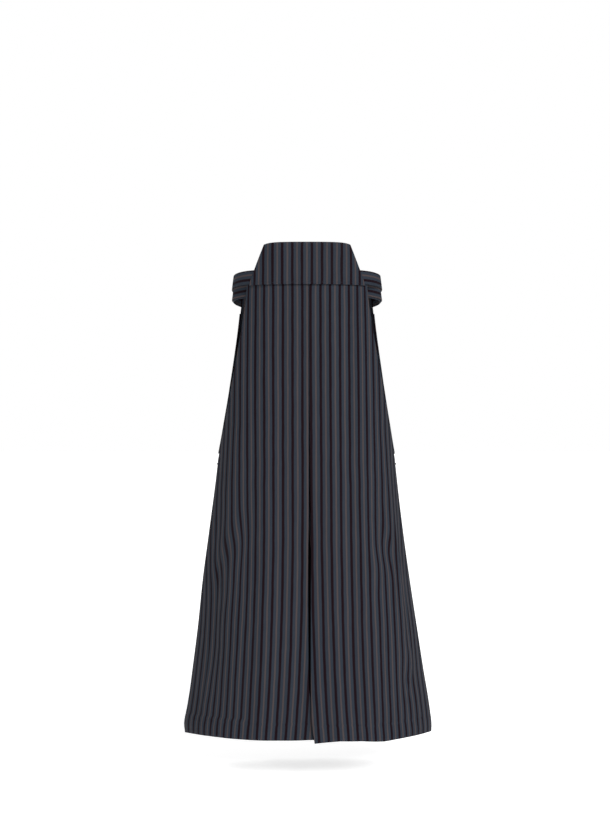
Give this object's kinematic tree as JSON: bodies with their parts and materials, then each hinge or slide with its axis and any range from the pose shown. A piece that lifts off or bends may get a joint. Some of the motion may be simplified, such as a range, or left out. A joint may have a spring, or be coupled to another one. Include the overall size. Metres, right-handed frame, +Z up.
{
  "type": "hakama trousers",
  "caption": "Pleated formal trousers in striped cloth, worn shape, with a waistband, wrapped ties, a stiff back board and open side slits.",
  "frame": {"origin": "middle of the wearer's waist, level with the top of the front waistband", "axes": "+Z up, the wearer faces -Y, the wearer's left is +X"},
  "size_m": [0.5252, 0.2796, 1.0243],
  "materials": {
    "striped_cloth": "woven cloth, fine vertical stripes of maroon-black, blue-grey and pale brown, soft sheen",
    "tie_cloth": "the same striped cloth folded into flat ties, stripes along their length",
    "board_cloth": "the same striped cloth drawn over a stiff board"
  },
  "bodies": {
    "root": {"front_left": "striped_cloth", "front_right": "striped_cloth", "back_left": "striped_cloth", "back_right": "striped_cloth", "gusset_left": "striped_cloth", "gusset_right": "striped_cloth", "side_fold_left": "striped_cloth", "side_fold_right": "striped_cloth", "front_band": "tie_cloth", "front_tie_turn": "tie_cloth", "back_board": "board_cloth", "back_tie_left": "tie_cloth", "back_tie_right": "tie_cloth", "knot_bar": "tie_cloth", "knot_upright": "tie_cloth"}
  },
  "joints": []
}
